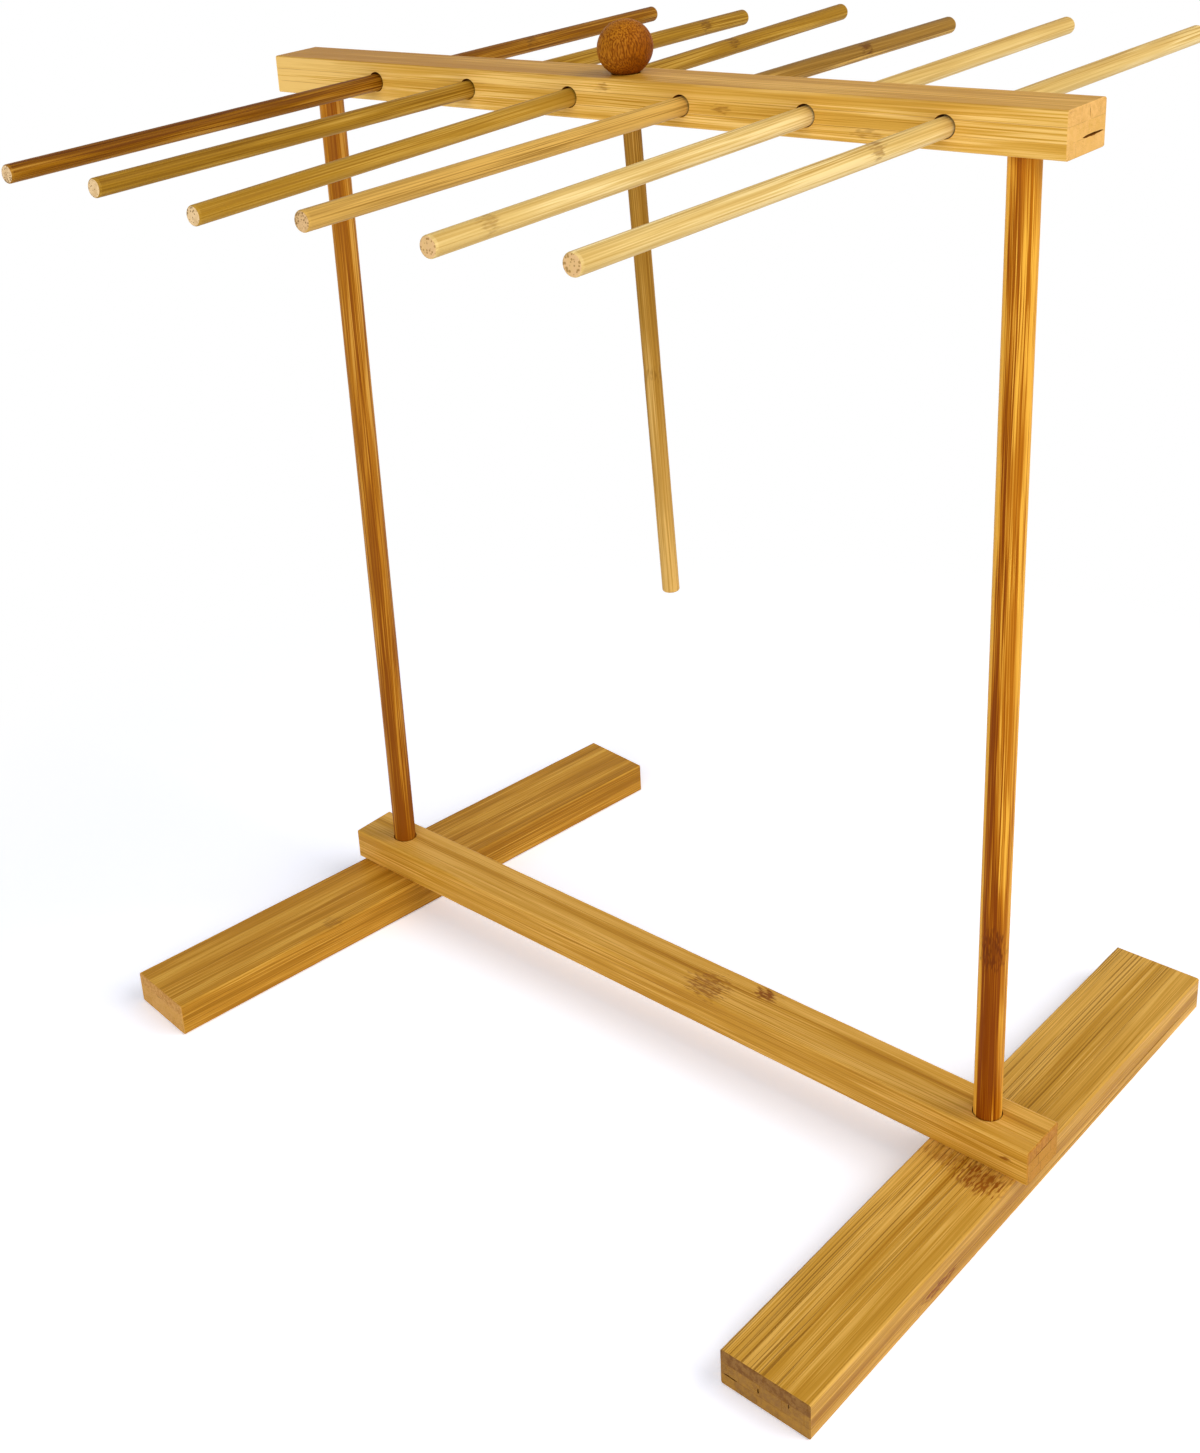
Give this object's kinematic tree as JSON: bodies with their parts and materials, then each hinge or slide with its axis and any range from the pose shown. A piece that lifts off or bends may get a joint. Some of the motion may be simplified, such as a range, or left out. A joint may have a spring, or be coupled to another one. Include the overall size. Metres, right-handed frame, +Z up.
{
  "type": "pasta drying rack",
  "caption": "Bamboo pasta drying rack: posts on a footed base carry a top bar with loose horizontal drying rods and a lift-out transfer wand with a ball knob.",
  "frame": {"origin": "on the floor, midway between the axes of the two posts", "axes": "+X along the top bar and base beam towards the end where the rods stand closest to their post, +Y along the drying rods towards the back, +Z up; the feet stand on Z 0"},
  "size_m": [0.4413, 0.42, 0.5127],
  "materials": {
    "bamboo_board": "laminated carbonised bamboo boards, fine straight grain, satin oiled",
    "bamboo_post": "turned bamboo dowel, darker streaks along the grain, satin",
    "bamboo_rod": "turned bamboo dowel, straw to olive, node marks, satin",
    "turned_knob": "turned reddish brown knob with short dark fibre dashes, satin"
  },
  "bodies": {
    "frame": {"base_beam": "bamboo_board", "post_left": "bamboo_post", "post_right": "bamboo_post", "top_bar": "bamboo_board"},
    "foot_left": {"foot_left": "bamboo_board"},
    "foot_right": {"foot_right": "bamboo_board"},
    "rod_1": {"drying_rod_1": "bamboo_rod"},
    "rod_2": {"drying_rod_2": "bamboo_rod"},
    "rod_3": {"drying_rod_3": "bamboo_rod"},
    "rod_4": {"drying_rod_4": "bamboo_rod"},
    "rod_5": {"drying_rod_5": "bamboo_rod"},
    "rod_6": {"drying_rod_6": "bamboo_rod"},
    "wand": {"wand_rod": "bamboo_rod", "wand_ball": "turned_knob"}
  },
  "joints": [
    {"name": "foot_left_swivel", "type": "hinge", "parent": "frame", "child": "foot_left", "pos_m": [-0.187, 0, 0], "axis": [0, 0, 1], "range_deg": [-83.7, 96.3]},
    {"name": "foot_right_swivel", "type": "hinge", "parent": "frame", "child": "foot_right", "pos_m": [0.187, 0, 0], "axis": [0, 0, 1], "range_deg": [-90, 90]},
    {"name": "rod_1_slide", "type": "slide", "parent": "frame", "child": "rod_1", "axis": [0, 1, 0], "range_m": [-0.216, 0.242]},
    {"name": "rod_2_slide", "type": "slide", "parent": "frame", "child": "rod_2", "axis": [0, 1, 0], "range_m": [-0.216, 0.242]},
    {"name": "rod_3_slide", "type": "slide", "parent": "frame", "child": "rod_3", "axis": [0, 0.9998, 0.0214], "range_m": [-0.216, 0.242]},
    {"name": "rod_4_slide", "type": "slide", "parent": "frame", "child": "rod_4", "axis": [0, 1, 0], "range_m": [-0.216, 0.242]},
    {"name": "rod_5_slide", "type": "slide", "parent": "frame", "child": "rod_5", "axis": [0, 1, 0.0086], "range_m": [-0.216, 0.242]},
    {"name": "rod_6_slide", "type": "slide", "parent": "frame", "child": "rod_6", "axis": [0, 1, 0], "range_m": [-0.216, 0.242]},
    {"name": "wand_lift", "type": "slide", "parent": "frame", "child": "wand", "axis": [-0.0572, 0, 0.9984], "range_m": [0, 0.25]}
  ]
}
